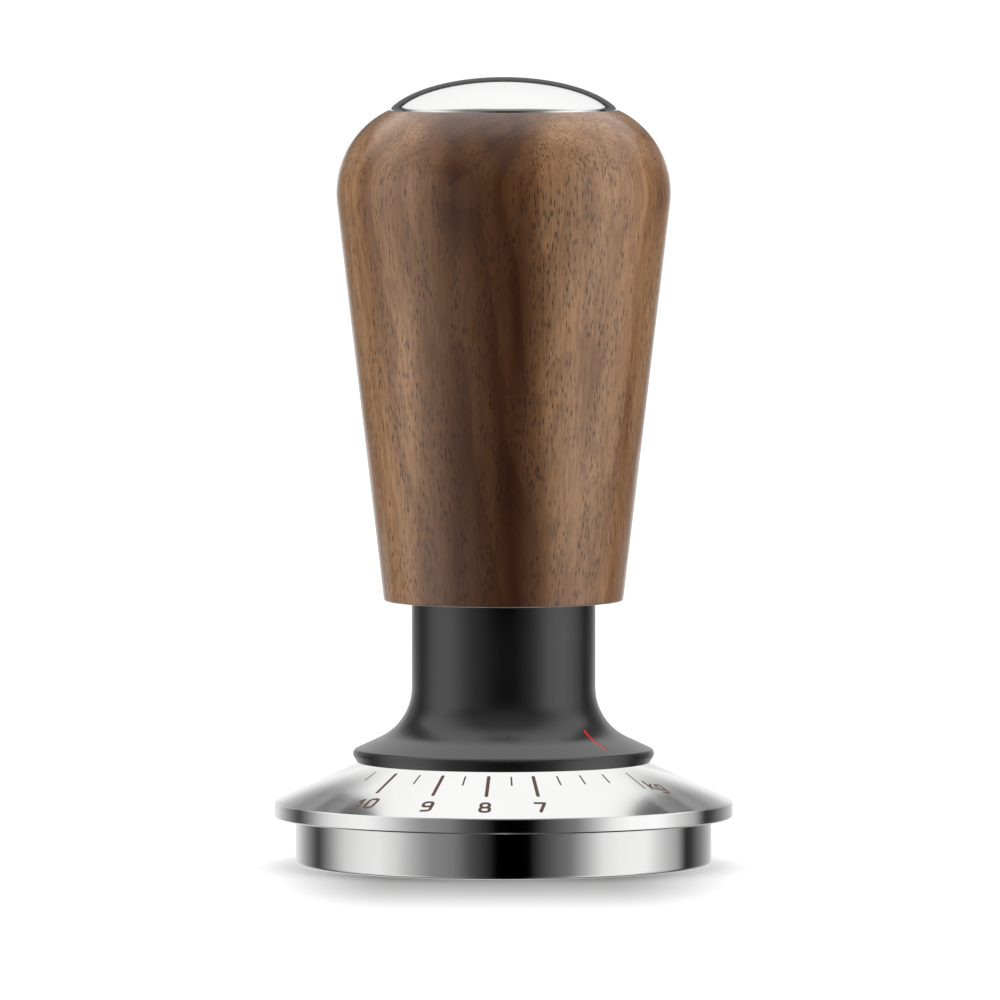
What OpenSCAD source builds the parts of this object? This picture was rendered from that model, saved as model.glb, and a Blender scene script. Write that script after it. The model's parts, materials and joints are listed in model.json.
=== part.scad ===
// Adjustable spring-loaded espresso tamper.
// A stainless base and scale flange carry a turning force collar; the walnut
// handle slides down over the collar's neck against a calibrated spring, and
// turning the collar raises a cam follower that preloads that spring.
// Origin: centre of the tamping face. +Z points up along the handle.

/* [Tamping base] */
// Diameter of the tamping face
base_d = 58; // [56:0.5:58.5]
// Height of the base wall below the flange
base_h = 6.5; // [5.5:0.5:9]
// Rounding of the tamping face's edge
base_edge_r = 0.5; // [0.2:0.1:1]
// Diameter of the register that centres the flange
register_d = 48; // [46:1:50]
// Height of that register
register_h = 2; // [1.5:0.5:2.5]
// Thread diameter of the screws that hold the flange
screw_d = 3; // [2.5:0.5:3]
// Reach of those screws below the flange
screw_reach = 2.5; // [2:0.5:3.5]

/* [Scale flange] */
// Diameter of the flange's rim
flange_d = 63.9; // [62.4:0.5:66.9]
// Height of the flange's vertical rim
rim_h = 2.1; // [1.5:0.1:3]
// Slope of the scale face below the horizontal, in degrees
cone_angle = 25; // [22:1:28]
// Break on the rim's lower edge
rim_chamfer = 0.2; // [0.1:0.05:0.5]
// Break on the rim's upper edge
rim_break = 0.1; // [0.05:0.05:0.4]
// Width of the relief outside the wall, where a basket's rim seats
relief_w = 0.4; // [0.3:0.05:0.6]
// Width of the same relief over the top of the wall
relief_in = 1; // [0.8:0.1:1.5]
// Depth of that relief
relief_h = 0.3; // [0.2:0.05:0.5]

/* [Force collar] */
// Diameter of the collar's lip
lip_d = 42; // [41:0.5:44]
// Radius of the rounded lip
lip_r = 0.75; // [0.6:0.05:0.9]
// Slope of the bevel under the lip, in degrees
lip_bevel = 58; // [28:1:65]
// Gap between the lip's foot and the scale face
lip_gap = 0.2; // [0.15:0.05:0.5]
// Diameter of the collar's neck
neck_d = 25.6; // [25:0.2:26.4]
// Radius of the sweep from the neck into the skirt
flare_r = 7.8; // [6:0.2:9]
// Slope of the skirt below the horizontal, in degrees
skirt_angle = 25; // [22:0.5:29]
// Length of plain neck that shows under the handle
neck_shown = 12; // [10:0.5:15]
// Length of neck inside the handle at rest
neck_insert = 17.4; // [15.4:0.5:19.4]
// Bore of the upper neck, where the cam sits
neck_bore_d = 22; // [21.6:0.1:22.2]

/* [Pointer] */
// Angle of the pointer from the front, towards +X, in degrees
pointer_angle = 48.4; // [-50:1:50]
// Width of the pointer groove
pointer_w = 0.55; // [0.3:0.05:1]
// Depth of the pointer groove
pointer_depth = 0.35; // [0.2:0.05:0.5]
// Radius from the axis where the pointer starts
pointer_in = 14.9; // [14:0.1:16]
// Radius from the axis where the pointer ends
pointer_out = 19.1; // [18:0.1:19.8]

/* [Bearing] */
// Diameter of the post's journal
journal_d = 15; // [14:0.5:15.2]
// Wall of the collar's plain bush
bush_wall = 1.2; // [1:0.1:1.4]
// Length of the bush above the flange
bush_len = 9.5; // [8:0.5:11]
// Thickness of the bush's thrust flange
thrust_t = 0.8; // [0.6:0.1:1.2]
// Diameter of the bush's thrust flange
thrust_d = 31; // [30:0.5:32]
// Thickness of the washer under the retaining ring
washer_t = 0.7; // [0.5:0.1:1]
// Thickness of the retaining ring
ring_t = 1; // [0.8:0.1:1.2]

/* [Centre post] */
// Diameter of the post's thread in the base
post_thread_d = 10; // [8:1:12]
// Length of that thread
post_thread_len = 5.6; // [5:0.2:6]
// Diameter of the flatted shaft that guides the follower
shaft_d = 11; // [10.4:0.1:11.2]
// Distance across the shaft's two flats
shaft_flats = 8.6; // [8:0.1:9.4]

/* [Cam] */
// Rise of the cam for one full turn
cam_lead = 20.6; // [18:0.2:22]
// Angle that the collar turns from the lowest to the highest force
cam_travel = 106; // [95:1:110]
// Angle from the lowest stop to the setting as drawn
cam_rest = 2; // [0:1:6]
// Angular width of each follower foot
foot_angle = 28; // [22:1:32]
// Thickness of the cam ring below its ramps
cam_base = 2; // [1.5:0.5:3]
// Bore of the cam ring
cam_bore_d = 15; // [14.8:0.1:15.4]
// Thickness of the follower's plate
plate_t = 3; // [2.5:0.5:4]

/* [Main spring] */
// Wire diameter
wire_d = 2.3; // [1.8:0.1:2.4]
// Mean coil diameter
coil_d = 14.5; // [14:0.1:14.6]
// Number of working coils
coils = 10; // [8:1:11]
// Length of the spring as fitted
spring_len = 44; // [42:1:46]

/* [Handle] */
// Stroke of the handle from rest to the stop
stroke = 4.5; // [3.5:0.5:5.5]
// Length of the wooden handle
handle_len = 68.3; // [66:0.1:74]
// Largest diameter of the handle
handle_d = 46.5; // [44:0.5:50]
// Diameter of the handle's lower end
handle_bottom_d = 33.4; // [33:0.2:37]
// Radius of the handle's shoulder
shoulder_r = 12.7; // [10:0.1:13]
// Rounding of the handle's lower edge
handle_edge_r = 0.4; // [0.3:0.1:1.2]
// Wall of the metal sleeve around the neck
sleeve_wall = 1.45; // [1.2:0.05:1.6]
// Outer diameter of the sleeve's threaded tail
tail_d = 22; // [21.6:0.2:23]
// Bore of the tail, where the spring runs
tail_bore_d = 18; // [17.6:0.1:18.4]
// Diameter of the guide pins in the neck
pin_d = 3; // [2:0.5:3.5]
// Thickness of the rubber stop ring
bumper_t = 2.8; // [2:0.2:4]
// Height of the wiper ring at the handle's mouth
wiper_h = 2; // [1.5:0.5:3]
// Diameter of the recess under the cap
recess_d = 27.2; // [26.8:0.1:27.8]
// Height of the nut that clamps the wood on the sleeve
nut_h = 4; // [3:0.5:5]

/* [Top cap] */
// Diameter of the domed cap
cap_d = 31.4; // [30.4:0.2:32.2]
// Height of the dome above the wood
cap_h = 4.65; // [3.5:0.05:6]
// Height of the cap's upright edge
cap_edge_h = 0.35; // [0.2:0.05:0.6]
// Thickness of the cap's shell
cap_t = 1.4; // [1:0.1:2]
// Length of the cap's skirt
skirt_len = 4.8; // [4:0.1:6]

/* [Fits] */
// Radial clearance of a running fit
run_fit = 0.05; // [0.02:0.01:0.08]
// Clearance between faces that slide past each other
slide_gap = 0.05; // [0.03:0.01:0.1]
// Clearance of a located or threaded joint
seat_fit = 0.05; // [0.02:0.01:0.08]
// Clearance between the cam's ramps and the follower's feet
cam_gap = 0.15; // [0.1:0.05:0.3]

/* [Hidden] */
$fn = 96;
eps = 0.01;

// Radii of the main rounds
base_rad = base_d / 2;
flange_rad = flange_d / 2;
register_rad = register_d / 2;
lip_rad = lip_d / 2;
neck_rad = neck_d / 2;
bore_rad = neck_bore_d / 2;
journal_rad = journal_d / 2;
thrust_rad = thrust_d / 2;
bush_rad = journal_rad + bush_wall;
shaft_rad = shaft_d / 2;
sleeve_bore = neck_rad + run_fit;
sleeve_rad = sleeve_bore + sleeve_wall;
tail_rad = tail_d / 2;
tail_bore = tail_bore_d / 2;
recess_rad = recess_d / 2;
cap_rad = cap_d / 2;

// Heights of the base and flange
flange_z = base_h;
register_z = base_h + register_h;
rim_z = base_h + rim_h;
seal_inset = 1.8;
seal_rad = thrust_rad + seal_inset;
seal_d = 1.25;
seal_depth = 0.6;
table_land = 1.3;
table_rad = seal_rad + seal_d / 2 + seat_fit + table_land;
function cone_z(r) = rim_z + (flange_rad - r) * tan(cone_angle);
table_z = cone_z(table_rad);

// Flange screws
screw_rad = screw_d / 2;
screw_head_rad = screw_d;
screw_pcd = 24;
screw_count = 3;
screw_start = 30;
screw_sink = 0.2;
screw_z = base_h - screw_reach;
screw_socket = 2.3;
socket_depth = 1.2;
drill_room = 0.3;

// Heights of the collar's outside
lip_foot_inset = 0.6;
lip_foot_t = 0.4;
foot_rad = lip_rad - lip_foot_inset;
lip_foot_z = cone_z(foot_rad) + lip_gap;
lip_z = lip_foot_z + (lip_rad - lip_r + lip_r * sin(lip_bevel) - foot_rad) * tan(lip_bevel)
    + lip_r * cos(lip_bevel);
collar_z = table_z + slide_gap + thrust_t;
skirt_start = [lip_rad - lip_r + lip_r * sin(skirt_angle), lip_z + lip_r * cos(skirt_angle)];
flare_end_rad = neck_rad + flare_r * (1 - sin(skirt_angle));
flare_end_z = skirt_start[1] + (skirt_start[0] - flare_end_rad) * tan(skirt_angle);
neck_z = flare_end_z + flare_r * cos(skirt_angle);
neck_edge = 0.4;

// Heights of the handle
handle_z = neck_z + neck_shown;
handle_top_z = handle_z + handle_len;
neck_top_z = handle_z + neck_insert;

// Pointer
pointer_fit = 0.02;
pointer_sink = 0.04;

// Heights of the bearing stack
ledge_z = table_z + slide_gap + bush_len;
washer_z = ledge_z + slide_gap;
ring_z = washer_z + washer_t;
ring_room = 0.6;
cam_z = ring_z + ring_t + ring_room;
washer_rad = bush_rad + 1;
ring_bore = washer_rad + 0.3;
groove_depth = 0.6;
groove_lip = 0.3;
journal_top_z = ring_z + ring_t + groove_lip;
ring_rad = washer_rad - 0.6;
ring_eye_rad = 1;
ring_eye_angle = 14;
ring_slit = 1.8;

// Cam and follower
ramps = 2;
cam_rise = cam_lead / 360;
ramp_in = cam_bore_d / 2 + 0.2;
ramp_out = bore_rad - 0.2;
foot_lead_in = 2;
foot_start = cam_rest + foot_lead_in;
ramp_angle = cam_travel + foot_angle + 3 * foot_lead_in;
ramp_z = cam_z + cam_base;
root = 0.5;
plate_room = 0.5;
function ramp_height(angle) = ramp_z + cam_rise * angle;
plate_z = ramp_height(ramp_angle + cam_rest) + plate_room;
spring_cup = 0.8;
cup_fit = 0.2;
seat_z = plate_z + plate_t - spring_cup;
follower_fit = 0.1;
hub_rad = cam_bore_d / 2 - 0.4;
hub_z = journal_top_z + 2.5;
shaft_top_z = seat_z + cam_rise * cam_travel + 3;

// Spring and plug
coil_rad = coil_d / 2;
spring_rad = coil_rad + wire_d / 2;
plug_z = seat_z + spring_len;
plug_t = 6;
plug_spigot = 4;
plug_spigot_rad = coil_rad - wire_d / 2 - 0.3;
plug_key = 9.2;
plug_floor = 2;
post_key = 5.8;
post_key_depth = 4;

// Handle internals
sleeve_recess = 0.8;
sleeve_z = handle_z + sleeve_recess;
pin_inset = 4;
pin_z = neck_top_z - pin_inset;
pin_side_fit = 0.1;
pin_end_fit = 0.2;
stop_gap = 0.2;
bumper_z = neck_top_z + stroke + stop_gap;
bumper_top_z = bumper_z + bumper_t;
web_t = 2;
shoulder_z = bumper_top_z + web_t;
bumper_play = 0.2;
wiper_wall = 0.85;
wiper_fit = 0.08;
mouth_chamfer = 0.3;
shoulder_land = 0.4;
clamp_washer_t = 1.2;
nut_room = 0.5;
recess_z = handle_top_z - skirt_len - nut_room - nut_h - clamp_washer_t;
clamp_rad = recess_rad - 0.35;
nut_z = recess_z + clamp_washer_t;
nut_slots = 4;
nut_slot = 3;
tail_top_z = nut_z + nut_h;
cap_gap = 0.35;
cap_skirt_rad = recess_rad - cap_gap;
cap_skirt_wall = 1.6;
oring_d = 1.15;
oring_play = 0.03;
oring_seat = oring_d - cap_gap + oring_play;
oring_z = handle_top_z - skirt_len / 2;

// Points of an arc about [x, y] from angle a to angle b
function arc(x, y, r, a, b, n = 12) =
    [for (i = [0 : n]) let (t = a + (b - a) * i / n) [x + r * cos(t), y + r * sin(t)]];

// A ring from radius inner to outer, between two heights
module ring(inner, outer, low, high) {
    translate([0, 0, low])
        difference() {
            cylinder(r = outer, h = high - low);
            translate([0, 0, -eps])
                cylinder(r = inner, h = high - low + 2 * eps);
        }
}

// Copies its children n times round the axis
module around(n, first = 0) {
    for (i = [0 : n - 1])
        rotate([0, 0, first + i * 360 / n])
            children();
}

// ---------------------------------------------------------------- base body

module tamping_base() {
    color("gainsboro")
    difference() {
        rotate_extrude()
            polygon(concat(
                [[0, 0]],
                arc(base_rad - base_edge_r, base_edge_r, base_edge_r, -90, 0, 6),
                [[base_rad, base_h], [register_rad, base_h],
                 [register_rad, register_z], [0, register_z]]));
        translate([0, 0, register_z - post_thread_len - drill_room])
            cylinder(r = post_thread_d / 2 + seat_fit, h = register_z);
        around(screw_count, screw_start)
            translate([screw_pcd / 2, 0, screw_z - drill_room])
                cylinder(r = screw_rad + seat_fit, h = register_z);
    }
}

module scale_flange() {
    groove_half = seal_d / 2 + seat_fit;
    color("silver")
    difference() {
        rotate_extrude()
            polygon([
                [journal_rad + seat_fit, register_z],
                [register_rad + seat_fit, register_z],
                [register_rad + seat_fit, flange_z],
                [base_rad - relief_in, flange_z],
                [base_rad - relief_in, flange_z + relief_h],
                [base_rad + relief_w, flange_z + relief_h],
                [base_rad + relief_w, flange_z],
                [flange_rad - rim_chamfer, flange_z],
                [flange_rad, flange_z + rim_chamfer],
                [flange_rad, rim_z - rim_break],
                [flange_rad - rim_break, cone_z(flange_rad - rim_break)],
                [table_rad, table_z],
                [seal_rad + groove_half, table_z],
                [seal_rad + groove_half, table_z - seal_depth],
                [seal_rad - groove_half, table_z - seal_depth],
                [seal_rad - groove_half, table_z],
                [journal_rad + seat_fit, table_z]]);
        around(screw_count, screw_start)
            translate([screw_pcd / 2, 0, 0]) {
                cylinder(r = screw_rad + seat_fit, h = table_z);
                screw_head(seat_fit, table_z + eps);
            }
    }
}

// A 90 degree countersunk head, grown by fit and cut off at top
module screw_head(fit, top) {
    head_z = table_z - screw_sink;
    head_h = screw_head_rad - screw_rad;
    translate([0, 0, head_z - head_h])
        cylinder(r1 = screw_rad + fit, r2 = screw_head_rad + fit, h = head_h);
    translate([0, 0, head_z - eps])
        cylinder(r = screw_head_rad + fit, h = top - head_z + eps);
}

module flange_screws() {
    head_z = table_z - screw_sink;
    color("dimgray")
    around(screw_count, screw_start)
        translate([screw_pcd / 2, 0, 0])
            difference() {
                union() {
                    translate([0, 0, screw_z])
                        cylinder(r = screw_rad, h = head_z - screw_z);
                    screw_head(0, head_z);
                }
                translate([0, 0, head_z - socket_depth])
                    cylinder(d = screw_socket, h = socket_depth + 1, $fn = 6);
            }
}

module centre_post() {
    color("lightsteelblue")
    difference() {
        union() {
            translate([0, 0, register_z - post_thread_len])
                cylinder(d = post_thread_d, h = post_thread_len + eps);
            translate([0, 0, register_z])
                cylinder(r = journal_rad, h = journal_top_z - register_z);
            translate([0, 0, journal_top_z - eps])
                flatted_bar(shaft_rad, shaft_flats, shaft_top_z - journal_top_z + eps);
        }
        ring(journal_rad - groove_depth, journal_rad + 1, ring_z, ring_z + ring_t);
        translate([0, 0, shaft_top_z - post_key_depth])
            cylinder(d = post_key, h = post_key_depth + 1, $fn = 6);
    }
}

// A round bar with two parallel flats
module flatted_bar(r, flats, h) {
    intersection() {
        cylinder(r = r, h = h);
        translate([-r, -flats / 2, 0])
            cube([2 * r, flats, h]);
    }
}

module collar_seal() {
    color("black")
    rotate_extrude()
        translate([seal_rad, table_z - seal_depth + seal_d / 2])
            circle(d = seal_d);
}

module retaining_washer() {
    color("khaki")
    ring(journal_rad + run_fit, washer_rad, washer_z, ring_z);
}

// An open ring with two eyes for pliers, sprung into the journal's groove
module retaining_ring() {
    eye_x = ring_rad - ring_eye_rad / 2;
    root_rad = journal_rad - groove_depth + seat_fit;
    color("slategray")
    translate([0, 0, ring_z])
        linear_extrude(height = ring_t)
            difference() {
                union() {
                    circle(r = ring_rad);
                    for (side = [-1, 1])
                        rotate(side * ring_eye_angle)
                            translate([eye_x, 0])
                                circle(r = ring_eye_rad);
                }
                circle(r = root_rad);
                for (side = [-1, 1])
                    rotate(side * ring_eye_angle)
                        translate([eye_x, 0])
                            circle(r = ring_eye_rad / 2, $fn = 24);
                translate([0, -ring_slit / 2])
                    square([ring_rad + ring_eye_rad, ring_slit]);
            }
}

// -------------------------------------------------------------- collar body

// Outside of the collar from its neck to the foot of its skirt, sunk by depth
function skirt_line(depth) = concat(
    arc(neck_rad + flare_r, neck_z, flare_r + depth, 180, 270 - skirt_angle, 14),
    [skirt_start - depth * [sin(skirt_angle), cos(skirt_angle)]]);

function backwards(list) = [for (i = [len(list) - 1 : -1 : 0]) list[i]];

module force_collar() {
    color([0.13, 0.13, 0.14])
    difference() {
        rotate_extrude()
            polygon(concat(
                [[neck_rad - neck_edge, neck_top_z], [neck_rad, neck_top_z - neck_edge]],
                skirt_line(0),
                arc(lip_rad - lip_r, lip_z, lip_r, 90 - skirt_angle, lip_bevel - 90, 8),
                [[foot_rad, lip_foot_z],
                 [foot_rad - lip_foot_t, lip_foot_z + lip_foot_t * tan(cone_angle)],
                 [foot_rad - lip_foot_t, collar_z],
                 [bush_rad + seat_fit, collar_z], [bush_rad + seat_fit, ledge_z],
                 [ring_bore, ledge_z], [ring_bore, cam_z],
                 [bore_rad, cam_z], [bore_rad, neck_top_z - neck_edge],
                 [bore_rad + neck_edge, neck_top_z]]));
        pointer_band(pointer_depth, -1, 0);
        for (side = [0, 180])
            rotate([0, 0, side])
                translate([bore_rad - 1, 0, pin_z])
                    rotate([0, 90, 0])
                        cylinder(r = pin_d / 2 + seat_fit, h = neck_rad - bore_rad + 2);
    }
}

// The stretch of the skirt under the pointer, between two depths below its
// surface, drawn in by fit at its sides and ends
module pointer_band(deep, shallow, fit) {
    rotate([0, 0, pointer_angle - 90])
        intersection() {
            rotate_extrude()
                intersection() {
                    polygon(concat(skirt_line(shallow), backwards(skirt_line(deep))));
                    translate([pointer_in + fit, 0])
                        square([pointer_out - pointer_in - 2 * fit, neck_top_z]);
                }
            translate([0, fit - pointer_w / 2, 0])
                cube([lip_rad, pointer_w - 2 * fit, neck_top_z]);
        }
}

module pointer_mark() {
    color("red")
    pointer_band(pointer_depth - pointer_fit, pointer_sink, pointer_fit);
}

module collar_bush() {
    color("peru")
    rotate_extrude()
        polygon([
            [journal_rad + run_fit, table_z + slide_gap],
            [thrust_rad, table_z + slide_gap],
            [thrust_rad, collar_z],
            [bush_rad, collar_z],
            [bush_rad, ledge_z],
            [journal_rad + run_fit, ledge_z]]);
}

// A sector of a ring whose bottom and top may climb, by low_rise and high_rise per degree
module climbing_block(inner, outer, angle, low, high, low_rise, high_rise) {
    steps = ceil(angle / 5);
    last = steps * 4;
    points = [
        for (i = [0 : steps])
            let (a = angle * i / steps, bottom = low + low_rise * a, top = high + high_rise * a)
            each [
                [inner * cos(a), inner * sin(a), bottom],
                [outer * cos(a), outer * sin(a), bottom],
                [outer * cos(a), outer * sin(a), top],
                [inner * cos(a), inner * sin(a), top]]];
    faces = concat(
        [[3, 2, 1, 0], [last, last + 1, last + 2, last + 3]],
        [for (i = [0 : steps - 1], k = [0 : 3])
            let (p = 4 * i + k, q = 4 * i + (k + 1) % 4)
            each [[p, q, p + 4], [q, q + 4, p + 4]]]);
    polyhedron(points, faces);
}

module cam_ring() {
    color("goldenrod")
    union() {
        ring(cam_bore_d / 2, bore_rad - seat_fit, cam_z, ramp_z);
        around(ramps)
            climbing_block(ramp_in, ramp_out, ramp_angle, ramp_z - root, ramp_z, 0, cam_rise);
    }
}

module guide_pins() {
    start = bore_rad + pin_end_fit;
    color("gray")
    for (side = [0, 180])
        rotate([0, 0, side])
            translate([start, 0, pin_z])
                rotate([0, 90, 0])
                    cylinder(d = pin_d, h = sleeve_rad - pin_end_fit - start);
}

// ------------------------------------------------------------ follower body

module cam_follower() {
    foot_z = ramp_height(foot_start) + cam_gap;
    top_z = plate_z + plate_t;
    color("burlywood")
    difference() {
        union() {
            translate([0, 0, plate_z])
                cylinder(r = bore_rad - follower_fit, h = plate_t);
            translate([0, 0, hub_z])
                cylinder(r = hub_rad, h = plate_z + eps - hub_z);
            around(ramps, foot_start)
                climbing_block(ramp_in, ramp_out, foot_angle, foot_z, plate_z + root,
                    cam_rise, 0);
        }
        translate([0, 0, hub_z - 1])
            flatted_bar(shaft_rad + run_fit, shaft_flats + 2 * run_fit, top_z + 2 - hub_z);
        translate([0, 0, seat_z])
            cylinder(r = spring_rad + cup_fit, h = plate_t);
    }
}

// Height of the wire's centre above the seat after t turns: the first and last
// turns lie almost closed, and the working coils share the rest of the length
function wire_height(t) =
    let (pitch = 1.05 * wire_d, open = spring_len - wire_d - 2 * pitch,
         closed = min(t, 1) + max(0, t - coils - 1), share = max(0, min(1, (t - 1) / coils)))
    wire_d / 2 + pitch * closed + open * share;

module main_spring() {
    sides = 6;
    per_turn = 18;
    last = (coils + 2) * per_turn;
    points = [
        for (i = [0 : last], k = [0 : sides - 1])
            let (t = i / per_turn, b = 360 * (k + 0.5) / sides, r = coil_rad + wire_d / 2 * cos(b))
            [r * cos(360 * t), r * sin(360 * t), wire_height(t) + wire_d / 2 * sin(b)]];
    faces = concat(
        [[for (k = [sides - 1 : -1 : 0]) k]],
        [[for (k = [0 : sides - 1]) last * sides + k]],
        [for (i = [0 : last - 1], k = [0 : sides - 1])
            let (p = i * sides + k, q = i * sides + (k + 1) % sides)
            each [[p, q, p + sides], [q, q + sides, p + sides]]]);
    color("darkgray")
    translate([0, 0, seat_z])
        polyhedron(points, faces);
}

// -------------------------------------------------------------- handle body

module handle_sleeve() {
    mouth_rad = sleeve_bore + wiper_wall;
    color("lightgray")
    difference() {
        rotate_extrude()
            polygon([
                [mouth_rad, sleeve_z], [sleeve_rad, sleeve_z],
                [sleeve_rad, shoulder_z], [tail_rad, shoulder_z],
                [tail_rad, tail_top_z], [tail_bore, tail_top_z],
                [tail_bore, bumper_top_z], [sleeve_bore, bumper_top_z],
                [sleeve_bore, sleeve_z + wiper_h], [mouth_rad, sleeve_z + wiper_h]]);
        for (side = [0, 180])
            rotate([0, 0, side])
                pin_slot();
    }
}

// A slot through the sleeve's wall: the pin rests at its lower end
module pin_slot() {
    half = pin_d / 2 + pin_side_fit;
    depth = sleeve_wall + 2;
    translate([sleeve_bore - 1, 0, pin_z]) {
        for (z = [0, stroke])
            translate([0, 0, z])
                rotate([0, 90, 0])
                    cylinder(r = half, h = depth);
        translate([0, -half, 0])
            cube([depth, 2 * half, stroke]);
    }
}

module dust_wiper() {
    color("black")
    ring(neck_rad + wiper_fit, sleeve_bore + wiper_wall - seat_fit,
        sleeve_z, sleeve_z + wiper_h - seat_fit);
}

module stop_bumper() {
    color("dimgray")
    ring(tail_bore + bumper_play, sleeve_bore - bumper_play, bumper_z, bumper_top_z);
}

module spring_plug() {
    color("slategray")
    difference() {
        union() {
            translate([0, 0, plug_z])
                cylinder(r = tail_bore - seat_fit, h = plug_t);
            translate([0, 0, plug_z - plug_spigot])
                cylinder(r = plug_spigot_rad, h = plug_spigot + eps);
        }
        translate([0, 0, plug_z + plug_floor])
            cylinder(d = plug_key, h = plug_t, $fn = 6);
    }
}

module clamp_washer() {
    color("khaki")
    ring(tail_rad + seat_fit, clamp_rad, recess_z, nut_z);
}

// A round nut with slots for a pin spanner
module clamp_nut() {
    color("gray")
    difference() {
        ring(tail_rad + seat_fit, clamp_rad, nut_z, nut_z + nut_h);
        around(nut_slots, 180 / nut_slots)
            translate([clamp_rad - nut_slot / 3, -nut_slot / 2, nut_z + nut_h / 2])
                cube([nut_slot, nut_slot, nut_h]);
    }
}

module wood_handle() {
    rad = handle_d / 2;
    bottom_rad = handle_bottom_d / 2;
    taper = atan((rad - bottom_rad) / (handle_len - shoulder_r));
    shoulder_x = rad - shoulder_r;
    crown = acos((cap_rad + shoulder_land - shoulder_x) / shoulder_r);
    shoulder_cz = handle_top_z - shoulder_r * sin(crown);
    color([0.42, 0.27, 0.18])
    rotate_extrude()
        polygon(concat(
            [[sleeve_rad + seat_fit, handle_z + mouth_chamfer],
             [sleeve_rad + seat_fit + mouth_chamfer, handle_z]],
            arc(bottom_rad - handle_edge_r, handle_z + handle_edge_r, handle_edge_r,
                -90, -taper, 6),
            arc(shoulder_x, shoulder_cz, shoulder_r, -taper, crown, 18),
            [[recess_rad, handle_top_z], [recess_rad, recess_z],
             [tail_rad + seat_fit, recess_z], [tail_rad + seat_fit, shoulder_z],
             [sleeve_rad + seat_fit, shoulder_z]]));
}

// Height of the dome above the wood at radius r: part of an ellipse, wider than the cap
function dome_z(r) =
    let (reach = cap_rad * 1.08, edge = sqrt(1 - pow(cap_rad / reach, 2)))
    cap_edge_h + (cap_h - cap_edge_h) * (sqrt(1 - pow(r / reach, 2)) - edge) / (1 - edge);

module top_cap() {
    steps = 20;
    inner = cap_skirt_rad - cap_skirt_wall;
    groove_half = oring_d / 2 + seat_fit;
    groove_z = oring_z - handle_top_z;
    color("whitesmoke")
    translate([0, 0, handle_top_z])
        rotate_extrude()
            polygon(concat(
                [for (i = [0 : steps])
                    let (r = cap_rad * sin(90 * i / steps)) [r, dome_z(r)]],
                [[cap_rad, 0], [cap_skirt_rad, 0],
                 [cap_skirt_rad, groove_z + groove_half],
                 [cap_skirt_rad - oring_seat, groove_z + groove_half],
                 [cap_skirt_rad - oring_seat, groove_z - groove_half],
                 [cap_skirt_rad, groove_z - groove_half],
                 [cap_skirt_rad, -skirt_len], [inner, -skirt_len]],
                [for (i = [steps : -1 : 0])
                    let (r = inner * i / steps) [r, dome_z(r) - cap_t]]));
}

module cap_o_ring() {
    color("black")
    rotate_extrude()
        translate([cap_skirt_rad - oring_seat + oring_d / 2, oring_z])
            circle(d = oring_d);
}

tamping_base();
scale_flange();
flange_screws();
centre_post();
collar_seal();
retaining_washer();
retaining_ring();
force_collar();
pointer_mark();
collar_bush();
cam_ring();
guide_pins();
cam_follower();
main_spring();
handle_sleeve();
dust_wiper();
stop_bumper();
spring_plug();
clamp_washer();
clamp_nut();
wood_handle();
top_cap();
cap_o_ring();
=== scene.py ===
# %% [markdown]
# An espresso tamper: a polished stainless base, a black collar that turns to set the force,
# a walnut handle that slides down over the collar, and a polished domed cap.
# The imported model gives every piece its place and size. Here the pieces that show get smooth
# surfaces, a printed scale, and finishes built from nodes.

# %% Load the frame
import json
import math

import bpy
import numpy as np
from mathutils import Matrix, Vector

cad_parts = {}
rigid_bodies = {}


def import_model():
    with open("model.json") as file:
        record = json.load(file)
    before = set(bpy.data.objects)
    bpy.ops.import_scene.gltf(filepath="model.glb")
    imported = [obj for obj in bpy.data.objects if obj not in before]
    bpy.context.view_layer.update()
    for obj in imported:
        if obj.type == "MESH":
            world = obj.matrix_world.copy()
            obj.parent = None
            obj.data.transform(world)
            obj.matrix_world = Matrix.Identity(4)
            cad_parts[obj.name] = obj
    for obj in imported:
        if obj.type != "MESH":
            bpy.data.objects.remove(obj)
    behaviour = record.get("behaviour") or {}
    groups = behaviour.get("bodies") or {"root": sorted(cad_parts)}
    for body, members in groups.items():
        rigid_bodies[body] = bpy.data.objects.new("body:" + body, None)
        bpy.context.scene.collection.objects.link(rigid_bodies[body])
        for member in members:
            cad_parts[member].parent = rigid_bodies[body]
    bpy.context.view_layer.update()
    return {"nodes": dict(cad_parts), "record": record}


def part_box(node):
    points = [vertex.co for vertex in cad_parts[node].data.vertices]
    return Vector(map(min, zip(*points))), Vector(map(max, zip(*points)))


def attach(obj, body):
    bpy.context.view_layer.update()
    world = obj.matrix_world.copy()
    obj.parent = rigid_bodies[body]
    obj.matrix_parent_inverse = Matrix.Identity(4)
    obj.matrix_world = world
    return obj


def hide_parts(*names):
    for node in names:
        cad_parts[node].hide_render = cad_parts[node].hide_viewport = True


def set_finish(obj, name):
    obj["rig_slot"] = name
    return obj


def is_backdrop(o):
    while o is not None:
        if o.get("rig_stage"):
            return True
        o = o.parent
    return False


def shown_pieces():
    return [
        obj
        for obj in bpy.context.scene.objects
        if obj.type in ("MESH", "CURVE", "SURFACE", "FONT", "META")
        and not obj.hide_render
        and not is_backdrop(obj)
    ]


for leftover in list(bpy.data.objects):
    bpy.data.objects.remove(leftover)
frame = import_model()
scene = bpy.context.scene
mm = 0.001

# %% [markdown]
# The frame is the drawing that everything else is measured from. Two readings are enough:
# how far a node reaches, and which upright round walls it has. The bores inside the handle,
# collar and cap are taken from those walls, so a new surface fits the pieces inside it.

# %% Read heights and radii from the frame
def span(node):
    """Lowest height, highest height and outer radius of a CAD node, in mm."""
    low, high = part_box(node)
    return low.z / mm, high.z / mm, high.x / mm


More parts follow.
